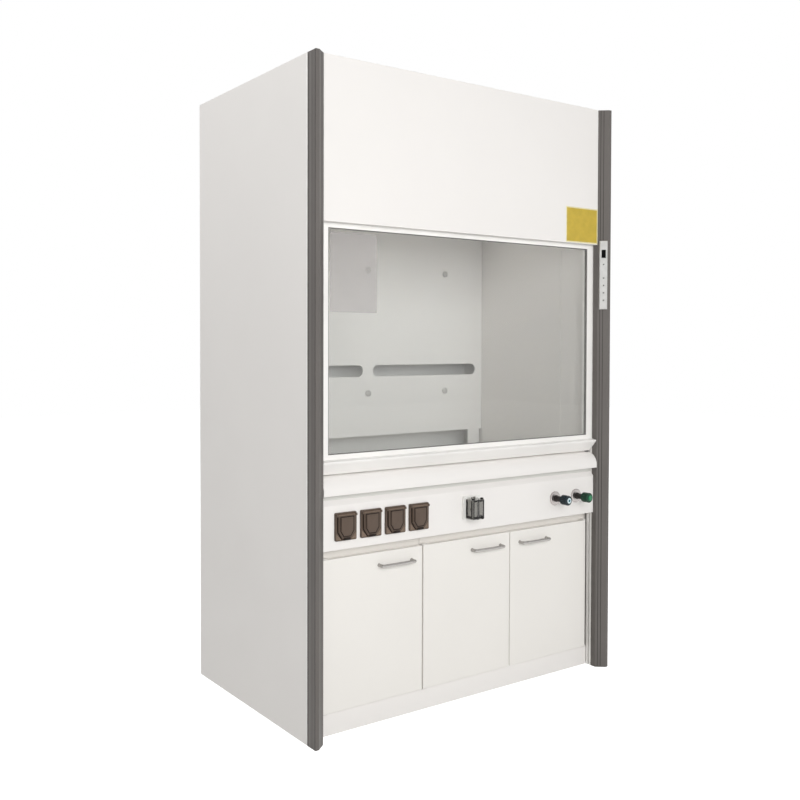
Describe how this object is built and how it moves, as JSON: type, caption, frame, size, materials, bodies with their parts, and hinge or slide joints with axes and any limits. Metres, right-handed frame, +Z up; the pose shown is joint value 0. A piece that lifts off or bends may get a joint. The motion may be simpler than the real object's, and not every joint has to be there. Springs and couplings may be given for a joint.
{
  "type": "ducted fume hood",
  "caption": "Floor-standing ducted fume hood with a counterweighted sash, slotted baffle, service fascia and base cupboards.",
  "frame": {"origin": "on the floor, midway between the sides, and midway between the valve knobs' faces and the back", "axes": "+Z up, +X to the right for someone facing the sash, front towards -Y"},
  "size_m": [1.5, 0.885, 2.45],
  "materials": {
    "casing_white": "satin",
    "door_white": "satin",
    "column_grey": "satin",
    "sash_white": "satin",
    "liner_board": "matt",
    "worktop_pale": "satin",
    "pane": "gloss",
    "socket_brown": "gloss",
    "switch_white": "gloss",
    "cover_smoke": "gloss",
    "knob_teal": "gloss",
    "knob_green": "gloss",
    "bright_metal": "polished",
    "satin_steel": "satin",
    "controller_pale": "matt",
    "button_pale": "matt",
    "cap_white": "gloss",
    "slider_black": "matt",
    "weight_iron": "matt",
    "lamp_white": "matt"
  },
  "bodies": {
    "hood": {"left_side_panel": "casing_white", "right_side_panel": "casing_white", "back_panel": "casing_white", "top_panel": "casing_white", "left_column": "column_grey", "right_column": "column_grey", "sash_tracks": "sash_white", "front_panel": "casing_white", "side_liners": "liner_board", "back_liner": "liner_board", "front_liner": "liner_board", "ceiling_liner": "liner_board", "baffle": "liner_board", "baffle_posts": "satin_steel", "baffle_cap_nuts": "cap_white", "duct_collar": "satin_steel", "lamp_housing": "casing_white", "lamp_glass": "pane", "lamp_strip": "lamp_white", "worktop": "worktop_pale", "airfoil": "casing_white", "airfoil_brackets": "satin_steel", "service_fascia": "casing_white", "left_cabinet": "door_white", "right_cabinet": "door_white", "plinth": "casing_white", "door_pivots": "satin_steel", "pulley_brackets": "satin_steel", "sash_cables": "satin_steel", "socket_bases": "socket_brown", "switch_base": "switch_white", "valve_bodies": "bright_metal", "controller_case": "controller_pale"},
    "sash": {"sash_bottom_rail": "sash_white", "sash_stiles": "sash_white", "sash_top_rail": "sash_white", "sash_glass": "pane", "sash_shoes": "slider_black"},
    "left_weight": {"left_counterweight": "weight_iron"},
    "right_weight": {"right_counterweight": "weight_iron"},
    "left_wheel": {"left_pulley": "slider_black"},
    "right_wheel": {"right_pulley": "slider_black"},
    "left_leaf": {"left_door": "door_white", "left_handle": "satin_steel"},
    "middle_leaf": {"middle_door": "door_white", "middle_handle": "satin_steel"},
    "right_leaf": {"right_door": "door_white", "right_handle": "satin_steel"},
    "lid_1": {"socket_lid_1": "socket_brown"},
    "lid_2": {"socket_lid_2": "socket_brown"},
    "lid_3": {"socket_lid_3": "socket_brown"},
    "lid_4": {"socket_lid_4": "socket_brown"},
    "cover": {"switch_cover": "cover_smoke"},
    "left_knob": {"left_valve_knob": "knob_teal"},
    "right_knob": {"right_valve_knob": "knob_green"},
    "button_1": {"controller_button_1": "button_pale"},
    "button_2": {"controller_button_2": "button_pale"},
    "button_3": {"controller_button_3": "button_pale"},
    "button_4": {"controller_button_4": "button_pale"},
    "button_5": {"controller_button_5": "button_pale"}
  },
  "joints": [
    {"name": "sash_slide", "type": "slide", "parent": "hood", "child": "sash", "axis": [0, 0, 1], "range_m": [0, 0.46], "deforming": ["sash_cables"]},
    {"name": "left_weight_slide", "type": "slide", "parent": "hood", "child": "left_weight", "axis": [0, 0, 1], "range_m": [-0.46, 0]},
    {"name": "right_weight_slide", "type": "slide", "parent": "hood", "child": "right_weight", "axis": [0, 0, 1], "range_m": [-0.46, 0]},
    {"name": "left_wheel_turn", "type": "hinge", "parent": "hood", "child": "left_wheel", "pos_m": [-0.70725, -0.345, 2.306], "axis": [0, -1, 0], "range_deg": [0, 1006]},
    {"name": "right_wheel_turn", "type": "hinge", "parent": "hood", "child": "right_wheel", "pos_m": [0.70725, -0.345, 2.306], "axis": [0, 1, 0], "range_deg": [0, 1006]},
    {"name": "left_door_hinge", "type": "hinge", "parent": "hood", "child": "left_leaf", "pos_m": [-0.669, -0.3365, 0.353], "axis": [0, 0, -1], "range_deg": [0, 105]},
    {"name": "middle_door_hinge", "type": "hinge", "parent": "hood", "child": "middle_leaf", "pos_m": [-0.215, -0.3365, 0.353], "axis": [0, 0, -1], "range_deg": [0, 90]},
    {"name": "right_door_hinge", "type": "hinge", "parent": "hood", "child": "right_leaf", "pos_m": [0.669, -0.3365, 0.353], "axis": [0, 0, 1], "range_deg": [0, 105]},
    {"name": "lid_1_hinge", "type": "hinge", "parent": "hood", "child": "lid_1", "pos_m": [-0.599, -0.3775, 0.778], "axis": [-1, 0, 0], "range_deg": [0, 110]},
    {"name": "lid_2_hinge", "type": "hinge", "parent": "hood", "child": "lid_2", "pos_m": [-0.4887, -0.3775, 0.778], "axis": [-1, 0, 0], "range_deg": [0, 110]},
    {"name": "lid_3_hinge", "type": "hinge", "parent": "hood", "child": "lid_3", "pos_m": [-0.3784, -0.3775, 0.778], "axis": [-1, 0, 0], "range_deg": [0, 110]},
    {"name": "lid_4_hinge", "type": "hinge", "parent": "hood", "child": "lid_4", "pos_m": [-0.2681, -0.3775, 0.778], "axis": [-1, 0, 0], "range_deg": [0, 110]},
    {"name": "cover_hinge", "type": "hinge", "parent": "hood", "child": "cover", "pos_m": [-0.008, -0.3795, 0.7853], "axis": [-1, 0, 0], "range_deg": [0, 100]},
    {"name": "left_knob_turn", "type": "hinge", "parent": "hood", "child": "left_knob", "pos_m": [0.4615, -0.4275, 0.738], "axis": [0, -1, 0], "range_deg": [0, 270]},
    {"name": "right_knob_turn", "type": "hinge", "parent": "hood", "child": "right_knob", "pos_m": [0.588, -0.4275, 0.738], "axis": [0, -1, 0], "range_deg": [0, 270]},
    {"name": "button_1_press", "type": "slide", "parent": "hood", "child": "button_1", "axis": [0.5963, 0.8027, 0], "range_m": [0, 0.0008], "stiffness_N_per_m": 1000, "springref_m": -0.0008},
    {"name": "button_2_press", "type": "slide", "parent": "hood", "child": "button_2", "axis": [0.5963, 0.8027, 0], "range_m": [0, 0.0008], "stiffness_N_per_m": 1000, "springref_m": -0.0008},
    {"name": "button_3_press", "type": "slide", "parent": "hood", "child": "button_3", "axis": [0.5963, 0.8027, 0], "range_m": [0, 0.0008], "stiffness_N_per_m": 1000, "springref_m": -0.0008},
    {"name": "button_4_press", "type": "slide", "parent": "hood", "child": "button_4", "axis": [0.5963, 0.8027, 0], "range_m": [0, 0.0008], "stiffness_N_per_m": 1000, "springref_m": -0.0008},
    {"name": "button_5_press", "type": "slide", "parent": "hood", "child": "button_5", "axis": [0.5963, 0.8027, 0], "range_m": [0, 0.0008], "stiffness_N_per_m": 1000, "springref_m": -0.0008}
  ],
  "couplings": [
    {"joint": "left_weight_slide", "follows": "sash_slide", "ratio": -1},
    {"joint": "left_wheel_turn", "follows": "sash_slide", "rad_per_m": 38.095},
    {"joint": "right_weight_slide", "follows": "sash_slide", "ratio": -1},
    {"joint": "right_wheel_turn", "follows": "sash_slide", "rad_per_m": 38.095}
  ]
}
